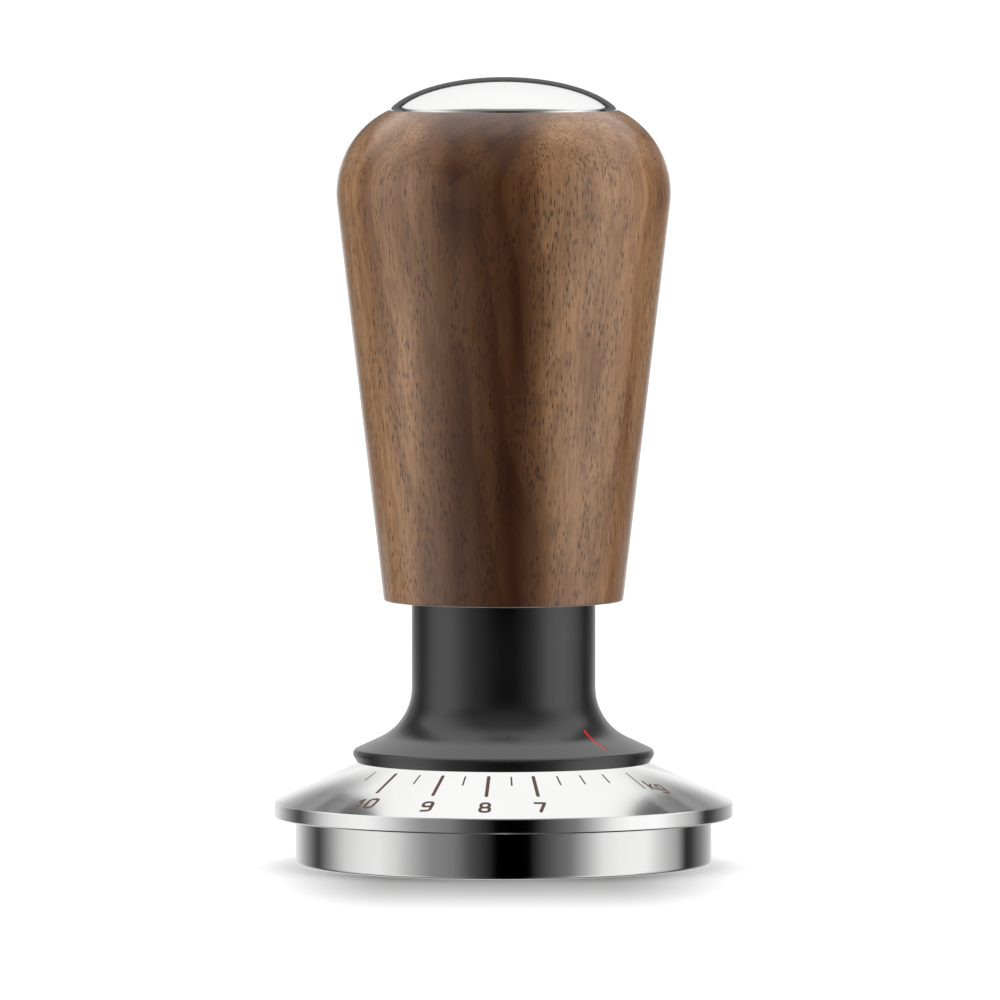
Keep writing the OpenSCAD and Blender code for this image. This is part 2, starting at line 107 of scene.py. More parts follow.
def corners(node):
    """The radius and the height of every corner of a CAD node, in mm."""
    mesh = frame["nodes"][node].data
    flat = np.empty(len(mesh.vertices) * 3, np.float32)
    mesh.vertices.foreach_get("co", flat)
    x, y, z = flat.reshape(-1, 3).T / mm
    return np.round(np.hypot(x, y), 2), z


def walls(node):
    """Upright round walls of a CAD node, as rows of radius, low end and high end: the radii
    at which its corners lie on one circle at two heights or more."""
    radius, z = corners(node)
    rows = [(float(r), float(z[radius == r].min()), float(z[radius == r].max()))
            for r in np.unique(radius)]
    return [row for row in rows if row[2] - row[1] > 0.2]


base_top, table_z, rim_rad = span("scale_flange")
lip_foot_z, neck_top, lip_rad = span("force_collar")
wood_foot, wood_top, wood_rad = span("wood_handle")
cap_foot, cap_top, cap_rad = span("top_cap")
print("collar", round(lip_foot_z, 2), "to", round(neck_top, 2), "wood", round(wood_foot, 2),
      "to", round(wood_top, 2), "cap top", round(cap_top, 2))

# %% [markdown]
# The camera is a long lens a little above the tamper, so upright edges stay upright and the
# scale on the sloping flange can be read.

# %% Camera
camera = bpy.data.objects.new("camera", bpy.data.cameras.new("camera"))
scene.collection.objects.link(camera)
scene.camera = camera
camera_tilt = 2.955
camera.location = (-0.0005, -1.672, 0.137)
camera.rotation_euler = (math.radians(90 - camera_tilt), 0, 0)
camera.data.lens = 432.7
camera.data.clip_start = 0.05
print("camera", round(camera.location.length, 3), "m away, tilted down", camera_tilt,
      "degrees")

# %% [markdown]
# Materials are built from nodes, and a few short helpers keep that readable. `add` makes a
# node and fills in its sockets, each with a plain value or with the output of another node.

# %% Node helpers
def fill(tree, sockets, key, value):
    """Gives one input socket a value, or links another node's output to it."""
    if isinstance(value, bpy.types.NodeSocket):
        tree.links.new(value, sockets[key])
    else:
        sockets[key].default_value = value


def add(tree, kind, out=0, settings=None, **values):
    """Adds a node and returns one of its outputs. An input is named with _ for a space, or
    by its number after the letter n."""
    made = tree.nodes.new(kind)
    for key, value in (settings or {}).items():
        setattr(made, key, value)
    for key, value in values.items():
        numbered = key[0] == "n" and key[1:].isdigit()
        fill(tree, made.inputs, int(key[1:]) if numbered else key.replace("_", " "), value)
    return made.outputs[out]


def maths(tree, operation, a, b=0.0, c=0.0):
    """One Math node."""
    return add(tree, "ShaderNodeMath", settings={"operation": operation}, n0=a, n1=b, n2=c)


def mixed(tree, factor, a, b, blend="MIX"):
    """One colour Mix node: a where the factor is 0, b where it is 1."""
    return add(tree, "ShaderNodeMix", out=2, settings={"data_type": "RGBA", "blend_type": blend},
               n0=factor, n6=a, n7=b)


def ranged(tree, value, low, high, new_low=0.0, new_high=1.0):
    """One Map Range node with a smooth step between its ends."""
    return add(tree, "ShaderNodeMapRange", settings={"interpolation_type": "SMOOTHSTEP"},
               Value=value, From_Min=low, From_Max=high, To_Min=new_low, To_Max=new_high)


def ramp(tree, factor, *stops):
    """A colour ramp through stops of position and colour."""
    made = tree.nodes.new("ShaderNodeValToRGB")
    elements = made.color_ramp.elements
    for position, _ in stops[2:]:
        elements.new(position)
    for element, (position, colour) in zip(elements, stops):
        element.position = position
        element.color = (*colour, 1)
    tree.links.new(factor, made.inputs[0])
    return made.outputs[0]


def grey(level):
    """A grey as a colour with its alpha."""
    return (level, level, level, 1)


def greys(*stops):
    """Stops of a grey ramp, from pairs of position and level."""
    return [(position, (level, level, level)) for position, level in stops]


# %% [markdown]
# Every pattern is laid out in the object's own metres. So it keeps its size, and it rides
# along when a piece moves. These readers give a point, its coordinates and its distance.

# %% Reading a place
def point(tree):
    """The place of a point, in the object's own metres."""
    return add(tree, "ShaderNodeTexCoord", out="Object")


def xyz(tree, vector):
    """The X, Y and Z of a vector."""
    split = tree.nodes.new("ShaderNodeSeparateXYZ")
    tree.links.new(vector, split.inputs[0])
    return split.outputs


def length(tree, vector):
    """The length of a vector."""
    return add(tree, "ShaderNodeVectorMath", out="Value", settings={"operation": "LENGTH"},
               n0=vector)


def noise(tree, scale, detail, out=0):
    """Noise over the object, stretched by a scale of its own along X, Y and Z."""
    return add(tree, "ShaderNodeTexNoise", out=out, Scale=1.0, Detail=detail, Vector=add(
        tree, "ShaderNodeMapping", Vector=point(tree), Scale=scale))


def seen_by(tree, *kinds):
    """1 for the kinds of ray that are named and 0 for the others."""
    ray = tree.nodes.new("ShaderNodeLightPath").outputs
    seen = 0.0
    for kind in kinds:
        seen = maths(tree, "MAXIMUM", seen, ray[f"Is {kind} Ray"])
    return seen


# %% [markdown]
# An effect that several finishes share is a node group: it gives a colour, a roughness or a
# height, and the shader that uses them stays in the material, where it can be seen and set.

# %% Groups and materials
def group(name, inputs, outputs):
    """A new shader node group with named sockets: its tree, its inputs and its output node."""
    tree = bpy.data.node_groups.new(name, "ShaderNodeTree")
    for label, kind, value in inputs:
        socket = tree.interface.new_socket(label, in_out="INPUT", socket_type="NodeSocket" + kind)
        socket.default_value = value
    for label, kind in outputs:
        tree.interface.new_socket(label, in_out="OUTPUT", socket_type="NodeSocket" + kind)
    return tree, tree.nodes.new("NodeGroupInput").outputs, tree.nodes.new("NodeGroupOutput")


def place(tree, made, **values):
    """Puts a node group into a material and returns its outputs."""
    placed = tree.nodes.new("ShaderNodeGroup")
    placed.node_tree = made
    for key, value in values.items():
        fill(tree, placed.inputs, key.replace("_", " "), value)
    return placed.outputs


def material(name, **constants):
    """A new material with one Principled shader, its constants set on the shader itself."""
    made = bpy.data.materials.new(name)
    made.use_nodes = True
    shader = made.node_tree.nodes["Principled BSDF"]
    for key, value in constants.items():
        shader.inputs[key.replace("_", " ")].default_value = value
    return made, made.node_tree, shader.inputs


# %% [markdown]
# The surround is a white room. A weak share of it lights the tamper from all round, so that
# no side goes black, and it looks fully white wherever it is seen.

# %% Surround
fill_level = 0.14
world = bpy.data.worlds.new("surround")
scene.world = world
world.use_nodes = True
tree = world.node_tree
tree.links.new(mixed(tree, seen_by(tree, "Camera", "Transmission", "Glossy"), grey(fill_level),
                     grey(1)), tree.nodes["Background"].inputs["Color"])
print("surround lights at", fill_level)

# %% [markdown]
# The floor and the cards are plain sheets that stand free of the tamper. They are stage, not
# pieces of it. A card throws no shadow and lights nothing dull: it shows only in what is
# glossy, as the white and black cards round a product in a studio do.

# %% Stage sheets
def sheet(name, points, around=False):
    """A stage sheet from rows of points, joined up where its columns go all round."""
    grid = np.array(points, float)
    rows, columns = grid.shape[:2]
    k = np.arange(rows - 1)[:, None]
    j = np.arange(columns if around else columns - 1)[None]
    right = (j + 1) % columns
    faces = np.stack([k * columns + j, k * columns + right,
                      (k + 1) * columns + right, (k + 1) * columns + j], 2).reshape(-1, 4)
    mesh = bpy.data.meshes.new(name)
    mesh.from_pydata(grid.reshape(-1, 3).tolist(), [], faces.tolist())
    made = bpy.data.objects.new(name, mesh)
    scene.collection.objects.link(made)
    made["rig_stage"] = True
    return made


def cover(made, shader):
    """Covers a sheet with one material, whose surface `shader` builds in the node tree."""
    paint = bpy.data.materials.new(made.name + "_paint")
    paint.use_nodes = True
    tree = paint.node_tree
    tree.nodes.clear()
    tree.links.new(shader(tree), tree.nodes.new("ShaderNodeOutputMaterial").inputs["Surface"])
    made.data.materials.append(paint)


def card(name, points, level, around=False):
    """A glowing sheet that only reflections show, for which level builds its brightness."""
    made = sheet(name, points, around)
    made.visible_camera = made.visible_diffuse = made.visible_shadow = False
    made.visible_transmission = made.visible_volume_scatter = False
    cover(made, lambda tree: add(tree, "ShaderNodeEmission", Color=level(tree), Strength=1.0))


# %% [markdown]
# The floor is pale matt paper that takes the tamper's real shadow. A glow that only direct sight
# shows brings it to white. The glow starts outside an oval round the foot, which leaves a
# painted soft shadow there, a dark pool laid over the real one: how far out a point lies is the
# square root of along squared plus sideways squared, each counted from where the pool's core ends
# to where the pool ends.

# %% Floor
floor_reach = 12.0
paper, near_glow, far_glow = 0.38, 0.66, 0.38
# Painted shadow: the oval round the foot inside which the glow is held back, as a start and an end
# ahead, behind and aside, in m.
painted_shadow_ahead, painted_shadow_behind, painted_shadow_aside = (0.030, 0.098), (0.010, -0.030), (0.014, 0.038)
far_start, far_end = 0.1, 1.5


def beyond(tree, value, start, end):
    """How far a value has gone from start towards end, as a share that starts at 0."""
    share = maths(tree, "DIVIDE", maths(tree, "SUBTRACT", value, start), end - start)
    return maths(tree, "MAXIMUM", share, 0.0)


def floor_shader(tree):
    """Matt paper, and the glow round the painted shadow and towards the distance."""
    spot = point(tree)
    ahead = maths(tree, "MULTIPLY", xyz(tree, spot)["Y"], -1.0)
    along = maths(tree, "MAXIMUM", beyond(tree, ahead, *painted_shadow_ahead),
                  beyond(tree, ahead, *painted_shadow_behind))
    sideways = beyond(tree, maths(tree, "ABSOLUTE", xyz(tree, spot)["X"]), *painted_shadow_aside)
    out = maths(tree, "SQRT", maths(tree, "MULTIPLY_ADD", along, along,
                                    maths(tree, "MULTIPLY", sideways, sideways)))
    distant = ranged(tree, length(tree, spot), far_start, far_end, 0, far_glow)
    # Held back inside the oval, the glow leaves a painted soft shadow round the foot.
    level = maths(tree, "MULTIPLY_ADD", ranged(tree, out, 0.0, 1.0), near_glow, distant)
    seen = seen_by(tree, "Camera", "Transmission")
    glow = add(tree, "ShaderNodeEmission", Strength=maths(tree, "MULTIPLY", seen, level))
    paint = add(tree, "ShaderNodeBsdfDiffuse", Color=grey(paper))
    return add(tree, "ShaderNodeAddShader", n0=paint, n1=glow)


floor = sheet("floor", [[(x, y, 0) for x in (-floor_reach, floor_reach)]
                        for y in (-floor_reach, floor_reach)])
floor.visible_glossy = False
cover(floor, floor_shader)
print("floor", 2 * floor_reach, "m wide")

# %% [markdown]
# Polished steel shows its surroundings more than its own colour, so the tamper stands in a
# closed round tent that only reflections show. Low down, dark and white cards follow each
# other round it, and draw the upright bands on the base. Above them is a roof, dark at the
# front and white at the back, which the sloping flange and the dome look up to.

# %% Tent of cards
# Degrees round from the front and how bright the card there is
card_levels = [(-180, 0.95), (-157, 0.74), (-140, 0.33), (-129, 0.12), (-124, 0.05),
               (-119, 0.11), (-111, 0.30), (-103, 0.56), (-96, 0.74), (-83, 0.88), (-72, 0.91),
               (-61, 0.73), (-51, 0.46), (-41, 0.27), (-27, 0.20), (-18, 0.08), (-4, 0.0),
               (14, 0.0), (23, 0.075), (37, 0.20), (46, 0.48), (56, 0.87), (66, 0.98),
               (84, 1.0), (97, 0.66), (111, 0.38), (116, 0.15), (120, 0.02), (127, 0.05),
               (141, 0.24), (158, 0.55), (180, 0.95)]
# Degrees up and how bright the roof is there, at the back and at the front
back_roof = [(24, 0.92), (36, 0.94), (46, 0.97), (60, 0.99), (90, 1.0)]
front_roof = [(15, 0.0), (28, 0.08), (42, 0.20), (62, 0.27), (76, 0.45), (85, 0.98)]


def around_and_up(tree):
    """The direction of a point as shares of 1: round from the back by the left, and up."""
    spot = xyz(tree, point(tree))
    back = maths(tree, "MULTIPLY", spot["Y"], -1.0)
    turn = maths(tree, "ARCTAN2", spot["X"], back)
    up = maths(tree, "ARCSINE", maths(tree, "DIVIDE", spot["Z"], length(tree, point(tree))))
    return (maths(tree, "MULTIPLY_ADD", turn, 0.5 / math.pi, 0.5),
            maths(tree, "MULTIPLY_ADD", up, 1 / math.pi, 0.5))


def tent_level(tree):
    """The cards by their place round the tent, turning into the roof above them."""
    turn, up = around_and_up(tree)
    cards = ramp(tree, turn, *greys(*[(0.5 + a / 360, v) for a, v in card_levels]))
    back, front = [ramp(tree, up, *greys(*[(0.5 + e / 180, v) for e, v in roof]))
                   for roof in (back_roof, front_roof)]
    aside = maths(tree, "ABSOLUTE", maths(tree, "SUBTRACT", turn, 0.5))
    roof = mixed(tree, ranged(tree, aside, 40 / 360, 100 / 360), front, back)
    below = ranged(tree, up, 0.5 - 65 / 180, 0.5 - 40 / 180, 0.3, 1.0)
    cards = mixed(tree, below, grey(0), cards)
    return mixed(tree, ranged(tree, up, 0.5 + 22 / 180, 0.5 + 36 / 180), cards, roof)


tent_rad = 0.9
high = np.radians(np.linspace(-89.9, 89.9, 61))[:, None]
turn = np.radians(np.linspace(-180, 180, 121))[None, :-1]
card("tent", np.stack([tent_rad * np.cos(high) * np.sin(turn),
                       -tent_rad * np.cos(high) * np.cos(turn),
                       tent_rad * np.sin(high) + 0 * turn], 2), tent_level, around=True)
print("cards round the tent", len(card_levels))

# %% [markdown]
# A curved dark card, a flag, hangs behind the tamper level with the cap and draws the dark
# line along the cap's edge. The flange would see it too, so to a ray from farther off it is
# as bright as the tent behind it.

# %% Flag behind the cap
flag_rad, flag_foot, flag_top = 0.12, 0.108, 0.158
flag_near = 0.15
behind_level = 0.96


def flag_level(tree):
    """Dark grey at the flag's foot and nearly black at its top, for a ray from close by."""
    share = add(tree, "ShaderNodeMapRange", Value=xyz(tree, point(tree))["Z"],
                From_Min=flag_foot, From_Max=flag_top)
    of_cap = ramp(tree, share, *greys((0.0, 0.18), (0.35, 0.15), (0.70, 0.11), (0.93, 0.03)))
    ray_length = add(tree, "ShaderNodeLightPath", out="Ray Length")
    return mixed(tree, maths(tree, "GREATER_THAN", ray_length, flag_near), of_cap,
                 grey(behind_level))


turn = np.radians(np.linspace(-55, 55, 27))
card("flag", [np.stack([flag_rad * np.sin(turn), flag_rad * np.cos(turn), np.full(27, z)], 1)
              for z in (flag_foot, flag_top)], flag_level)
print("flag", round((flag_top - flag_foot) / mm), "mm high")

# %% [markdown]
# Two pairs of small cards stand close behind the tamper. The low strips give the sloping
# flange its soft dark sectors, and the tall wings darken the edges of the varnished wood.

# %% Cards close by
stand_back = 0.040
strip_across, strip_up = (0.0275, 0.044), (0.012, 0.054)
wing_across, wing_up = (0.037, 0.080), (0.040, 0.106)
strip_full = 0.037


def strip_level(tree):
    """Darkest half way up and fading to white at the top, the foot and the inner side."""
    spot = xyz(tree, point(tree))
    share = add(tree, "ShaderNodeMapRange", Value=spot["Z"], From_Min=strip_up[0],
                From_Max=strip_up[1])
    up = ramp(tree, share, *greys((0.0, 0.90), (0.24, 0.46), (0.45, 0.26), (0.64, 0.33),
                                  (0.81, 0.60), (1.0, 0.96)))
    out = ranged(tree, maths(tree, "ABSOLUTE", spot["X"]), strip_across[0], strip_full)
    return mixed(tree, out, grey(behind_level), up)


def wing_level(tree):
    """A dark grey all over."""
    return grey(0.10)


for kind, across, up, level in (("strip", strip_across, strip_up, strip_level),
                                ("wing", wing_across, wing_up, wing_level)):
    for hand, side in (("left", -1), ("right", 1)):
        card(f"{hand}_{kind}", [[(side * x, stand_back, z) for x in across] for z in up], level)
print("cards close by 4")

# %% [markdown]
# Three large soft lamps light the wood and throw the shadow: one low at each side, and one
# overhead and behind, which rims the shoulder. Reflections show the cards and not the lamps.

# %% Soft lamps
lamp_size = 0.9


def lamp(name, azimuth, elevation, distance, power):
    """A square soft lamp aimed at the middle of the handle. Azimuth 0 is the front."""
    a, e = math.radians(azimuth), math.radians(elevation)
    away = np.array([math.sin(a) * math.cos(e), -math.cos(a) * math.cos(e), math.sin(e)])
    made = bpy.data.objects.new(name, bpy.data.lights.new(name, "AREA"))
    made.data.size = lamp_size
    made.data.energy = power
    made.location = np.array([0, 0, 0.06]) + away * distance
    made.rotation_euler = (math.pi / 2 - e, 0, a)
    made.visible_glossy = False
    scene.collection.objects.link(made)


lamp("left_lamp", -75, 20, 1.0, 13)
lamp("right_lamp", 75, 20, 1.0, 14)
lamp("top_lamp", 180, 62, 1.2, 11)
print("lamps 3, each", lamp_size, "m square")

# %% [markdown]
# Every outer piece is turned on a lathe, so each is a profile spun round the axis. A profile
# is a chain of straight runs and arcs with exact tangents. The tangents give exact normals,
# so polished surfaces reflect smoothly and edges stay crisp without a mesh full of loops.

# %% Arcs and corners
def arc(cr, cz, radius, start, end, step=3.0, through=()):
    """Points cr + radius cos(t), cz + radius sin(t) for t from start to end degrees and
    through any angles named between them, and the unit tangents there."""
    way = math.copysign(1, end - start)
    evenly = np.linspace(start, end, max(3, int(abs(end - start) / step) + 2))
    t = np.radians(way * np.unique(way * np.append(evenly, through)))
    points = np.stack([cr + radius * np.cos(t), cz + radius * np.sin(t)], 1)
    return points, way * np.stack([-np.sin(t), np.cos(t)], 1)


def corner(r, z, rounding=0.0):
    """A corner of a profile, rounded where rounding is above 0."""
    return np.array([[r, z]]), rounding


def unit(v):
    """The same direction at length 1."""
    return v / np.linalg.norm(v)


def rounded(before, at, after, rounding, steps=5):
    """The arc that touches both runs meeting at a corner: it starts rounding / tan(half the
    corner's angle) away from it, and its tangent turns evenly from one run to the other."""
    u, v = unit(before - at), unit(after - at)
    half = math.acos(np.clip(u @ v, -1, 1)) / 2
    start = at + u * rounding / math.tan(half)
    cross = u[0] * v[1] - u[1] * v[0]
    t = np.linspace(0, 1, steps) * (math.pi - 2 * half) * -math.copysign(1, cross)
    turn = np.stack([np.cos(t), np.sin(t)], 1)
    heading = -u
    tangents = np.stack([heading[0] * turn[:, 0] - heading[1] * turn[:, 1],
                         heading[0] * turn[:, 1] + heading[1] * turn[:, 0]], 1)
    side = np.array([-heading[1], heading[0]]) * -math.copysign(1, cross)
    centre = start + side * rounding
    radials = np.stack([tangents[:, 1], -tangents[:, 0]], 1) * -math.copysign(1, cross)
    return centre + radials * rounding, tangents


# %% [markdown]
# The arcs and corners of a piece are joined up in the order in which the lathe tool would
# meet them. A straight run needs no points of its own, only the direction between its ends.

# %% Profiles
def profile(*parts):
    """Joins arcs and corners into points, tangents arriving and tangents leaving. The solid
    lies to the left of the way the profile runs."""
    points, arriving, leaving = [], [], []
    for i, (places, extra) in enumerate(parts):
        if isinstance(extra, (float, int)):
            before = parts[i - 1][0][-1]
            after = parts[(i + 1) % len(parts)][0][0]
            if extra > 0:
                places, extra = rounded(before, places[0], after, extra)
            else:
                extra = np.full((1, 2), np.nan)
        points.append(places)
        arriving.append(extra.copy())
        leaving.append(extra.copy())
    points = np.concatenate(points)
    starts = np.cumsum([0] + [len(a) for a in arriving])[:-1]
    arriving, leaving = np.concatenate(arriving), np.concatenate(leaving)
    for start in starts:
        run = points[start] - points[start - 1]
        if np.linalg.norm(run) > 1e-6:
            leaving[start - 1] = arriving[start] = unit(run)
    return points, arriving, leaving


# %% [markdown]
# Spinning a profile gives rings of quads. Where the angles differ from ring to ring, a column
# of quads keeps straight sides up a cone, which the pointer's groove needs.

# %% Spinning a profile
def spun(points, arriving, leaving, angles, closed=True):
    """Spins a profile: a grid of points (r cos a, r sin a, z), its quads, and a normal for
    each corner of each quad, square to the tangent there. The angles are one row for the
    whole profile, or a row for each of its points."""
    rows, columns = len(points), angles.shape[-1]
    turn = np.broadcast_to(angles, (rows, columns))
    rim = np.stack([np.cos(turn), np.sin(turn)], 2)
    grid = np.empty((rows, columns, 3))
    grid[..., :2] = points[:, None, :1] * rim
    grid[..., 2] = points[:, None, 1]
    k = np.arange(rows if closed else rows - 1)[:, None]
    j = np.arange(columns)[None]
    up, right = (k + 1) % rows, (j + 1) % columns
    quads = np.stack([k * columns + j, k * columns + right,
                      up * columns + right, up * columns + j], 2)

    def square_to(tangent, k, j):
        flat = tangent[k, 1][..., None] * rim[k, j]
        return np.concatenate([flat, np.broadcast_to(-tangent[k, 0][..., None],
                                                     flat.shape[:2] + (1,))], 2)

    normals = np.stack([square_to(leaving, k, j), square_to(leaving, k, right),
                        square_to(arriving, up, right), square_to(arriving, up, j)], 2)
    return grid.reshape(-1, 3), quads.reshape(-1, 4), normals.reshape(-1, 4, 3)


# %% [markdown]
# A new piece rides on the body of the piece that it stands for, takes its slot in the record
# and replaces the plain node, so that only one of them is seen.

# %% Making a piece
def piece(name, co, quads, normals, body, slot, replaced):
    """Makes a mesh object from points in mm, quads and corner normals. Points on the axis
    become one, and a quad that touches it there becomes a triangle."""
    key = np.round(co, 5)
    on_axis = np.hypot(co[:, 0], co[:, 1]) < 1e-6
    merged = np.arange(len(co))
    for z in np.unique(key[on_axis, 2]):
        same = on_axis & (key[:, 2] == z)
        merged[same] = np.flatnonzero(same)[0]
    kept, index = np.unique(merged, return_inverse=True)
    used = index[quads]
    distinct = used != np.roll(used, -1, 1)
    faces = [row[keep].tolist() for row, keep in zip(used, distinct)]
    mesh = bpy.data.meshes.new(name)
    mesh.from_pydata((co[kept] * mm).tolist(), [], faces)
    mesh.polygons.foreach_set("use_smooth", np.ones(len(faces), bool))
    mesh.normals_split_custom_set(normals[distinct].tolist())
    made = bpy.data.objects.new(name, mesh)
    scene.collection.objects.link(made)
    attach(made, body)
    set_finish(made, slot)
    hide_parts(*replaced)
    print(name, len(mesh.vertices), "points", len(faces), "faces")
    return made


round_angles = np.linspace(0, 2 * math.pi, 256, endpoint=False)
print("columns round a piece", len(round_angles))

# %% [markdown]
# The walnut handle is a lathe-turned cone with a generous shoulder. The bores inside it hold
# the metal sleeve, its threaded tail and the cap. They come from the frame, so the new wood
# fits the pieces in it.

# %% Walnut handle
bottom_rad = 16.7
shoulder_r = 12.7
foot_rounding = 0.4
shoulder_land = 0.4
mouth_chamfer = 0.3
taper = math.degrees(math.atan((wood_rad - bottom_rad) / (wood_top - wood_foot - shoulder_r)))
shoulder_x = wood_rad - shoulder_r
crown = math.degrees(math.acos((cap_rad + shoulder_land - shoulder_x) / shoulder_r))
shoulder_z = wood_top - shoulder_r * math.sin(math.radians(crown))
bores = sorted((row for row in walls("wood_handle") if row[0] < bottom_rad - 1),
               key=lambda row: -row[1])
inside = [corner(r, z) for r, low, high in bores for z in (high, low)]
wood_profile = profile(
    corner(bores[-1][0] + mouth_chamfer, wood_foot),
    arc(bottom_rad - foot_rounding, wood_foot + foot_rounding, foot_rounding, -90, -taper, 12),
    arc(shoulder_x, shoulder_z, shoulder_r, -taper, crown),
    *inside)
wood = piece("walnut_handle", *spun(*wood_profile, round_angles), "handle", "walnut",
             ["wood_handle"])
print("taper", round(taper, 2), "degrees, bores", [round(row[0], 2) for row in bores])

# %% [markdown]
# The cap is a shallow polished dome with a short upright edge, pressed into the handle on a
# skirt with an O-ring. The dome is part of an ellipse wider than the cap: its height is
# proportional to the square root of 1 - (r / reach) squared.

# %% Domed cap
cap_h = cap_top - wood_top
cap_edge_h = 0.35
cap_shell = 1.4
dome_reach = cap_rad * 1.08


def dome(r):
    """Height above the wood of the dome's ellipse at radius r."""
    edge = math.sqrt(1 - (cap_rad / dome_reach) ** 2)
    rise = (np.sqrt(1 - (r / dome_reach) ** 2) - edge) / (1 - edge)
    return cap_edge_h + (cap_h - cap_edge_h) * rise


def curve(r, height):
    """A stretch of profile along a height that is a function of the radius, with tangents
    from the slope between close neighbours."""
    step = 1e-4
    rise = (height(r + step * np.sign(-r + 1e-9)) - height(r)) / (step * np.sign(-r + 1e-9))
    way = np.sign(r[-1] - r[0])
    tangents = way * np.stack([np.ones_like(r), rise], 1)
    return (np.stack([r, height(r)], 1),
            tangents / np.linalg.norm(tangents, axis=1, keepdims=True))


skirt = [row for row in walls("top_cap") if 1 < row[0] < cap_rad - 1]
(inner_rad, _, _), (groove_rad, groove_low, groove_high), (skirt_rad, _, _) = skirt
under = curve(np.linspace(0, inner_rad, 40), lambda r: wood_top + dome(r) - cap_shell)
roll = 0.8
over = curve((cap_rad - 0.3) * np.sin(np.linspace(math.pi / 2, 0, 60)),
             lambda r: wood_top + dome(r))
cap_profile = profile(
    under, corner(inner_rad, cap_foot), corner(skirt_rad, cap_foot, 0.2),
    corner(skirt_rad, groove_low), corner(groove_rad, groove_low),
    corner(groove_rad, groove_high), corner(skirt_rad, groove_high),
    corner(skirt_rad, wood_top), corner(cap_rad, wood_top),
    corner(cap_rad, wood_top + cap_edge_h, roll), over)
cap = piece("domed_cap", *spun(*cap_profile, round_angles, closed=False), "handle",
            "cap_steel", ["top_cap"])
print("dome rises", round(cap_h, 2), "mm over a radius of", round(cap_rad, 2))

# %% [markdown]
# The collar flares from a slim neck to a wide skirt with a rounded lip. It would be turned
# from bar and anodised black. The heights are worked up from the foot of the lip: bevel, lip,
# skirt and flare each start where the one before ends, with the same slope.

# %% Force collar
neck_rad = 12.8
flare_r = 7.8
skirt_slope = 25
lip_r = 0.75
bevel_slope = 58
foot_inset = 0.6
foot_land = 0.4
neck_break = 0.4
pointer_turn = math.radians(48.4)
pointer_w, pointer_depth = 0.55, 0.35
pointer_in, pointer_out = 14.9, 19.1
slope, bevel = math.radians(skirt_slope), math.radians(bevel_slope)
foot_rad = lip_rad - foot_inset
lip_z = (lip_foot_z + (lip_rad - lip_r + lip_r * math.sin(bevel) - foot_rad) * math.tan(bevel)
         + lip_r * math.cos(bevel))
skirt_r, skirt_z = lip_rad - lip_r + lip_r * math.sin(slope), lip_z + lip_r * math.cos(slope)
flare_rad = neck_rad + flare_r * (1 - math.sin(slope))
flare_z = skirt_z + (skirt_r - flare_rad) * math.tan(slope)
neck_z = flare_z + flare_r * math.cos(slope)
skirt_steps = np.linspace(skirt_r, flare_rad, 28)[1:-1]
skirt_steps = -np.unique(-np.append(skirt_steps, pointer_out))
flare_turn = 180 + math.degrees(math.acos((neck_rad + flare_r - pointer_in) / flare_r))
straight = (np.stack([skirt_steps, skirt_z + (skirt_r - skirt_steps) * math.tan(slope)], 1),
            np.tile([-math.cos(slope), math.sin(slope)], (len(skirt_steps), 1)))
bores = sorted((row for row in walls("force_collar") if row[0] < neck_rad - 0.5),
               key=lambda row: -row[1])
steps_down = [corner(r, z) for r, low, high in bores for z in (high, low)]
steps_down[0] = corner(bores[0][0] + neck_break, neck_top)
steps_down.insert(1, corner(bores[0][0], neck_top - neck_break))
collar_foot = bores[-1][1]
collar_profile = profile(
    corner(bores[-1][0], collar_foot), corner(foot_rad - foot_land, collar_foot),
    corner(foot_rad - foot_land, lip_foot_z + foot_land * math.tan(math.radians(25))),
    corner(foot_rad, lip_foot_z),
    arc(lip_rad - lip_r, lip_z, lip_r, bevel_slope - 90, 90 - skirt_slope, 8),
    straight,
    arc(neck_rad + flare_r, neck_z, flare_r, 270 - skirt_slope, 180, 2, [flare_turn]),
    corner(neck_rad, neck_top, neck_break), *steps_down[:-1])

print("neck starts", round(neck_z, 2), "mm up")

# %% [markdown]
# The pointer is a groove milled into the skirt and filled with red enamel. It is made by
# sinking the one column of faces that lies over it, whose sides stay parallel: their angle at
# radius r is asin(half width / r).

# %% Pointer groove
def grooved(co, quads, normals, points, tangents, columns, first, last, column, turn):
    """Swaps the column of quads between two profile points for a groove: the same points
    sunk square to the surface, with a floor, two sides and two ends."""
    k = np.arange(first, last + 1)
    out = np.array([math.cos(turn), math.sin(turn), 0])
    along = np.array([-math.sin(turn), math.cos(turn), 0])
    up = tangents[k, :1] * out + tangents[k, 1:] * np.array([0, 0, 1])
    square = tangents[k, 1:] * out - tangents[k, :1] * np.array([0, 0, 1])
    left, right = k * columns + column, k * columns + column + 1
    low_left = len(co) + np.arange(len(k))
    low_right = low_left + len(k)
    co = np.concatenate([co, co[left] - square * pointer_depth,
                         co[right] - square * pointer_depth])
    a, b = slice(None, -1), slice(1, None)

    def band(p, q, facing):
        rows = np.stack([p[a], q[a], q[b], p[b]], 1)
        return rows, np.stack([facing[a], facing[a], facing[b], facing[b]], 1)

    side = np.tile(along, (len(k), 1))
    made = [band(low_left, low_right, square), band(left, low_left, side),
            band(low_right, right, -side),
            (np.array([[left[0], right[0], low_right[0], low_left[0]]]),
             np.tile(up[0], (1, 4, 1))),
            (np.array([[low_left[-1], low_right[-1], right[-1], left[-1]]]),
             np.tile(-up[-1], (1, 4, 1)))]
    cut = np.isin(np.arange(len(quads)), k[a] * columns + column)
    return (co, np.concatenate([quads[~cut]] + [rows for rows, _ in made]),
            np.concatenate([normals[~cut]] + [facing for _, facing in made]))


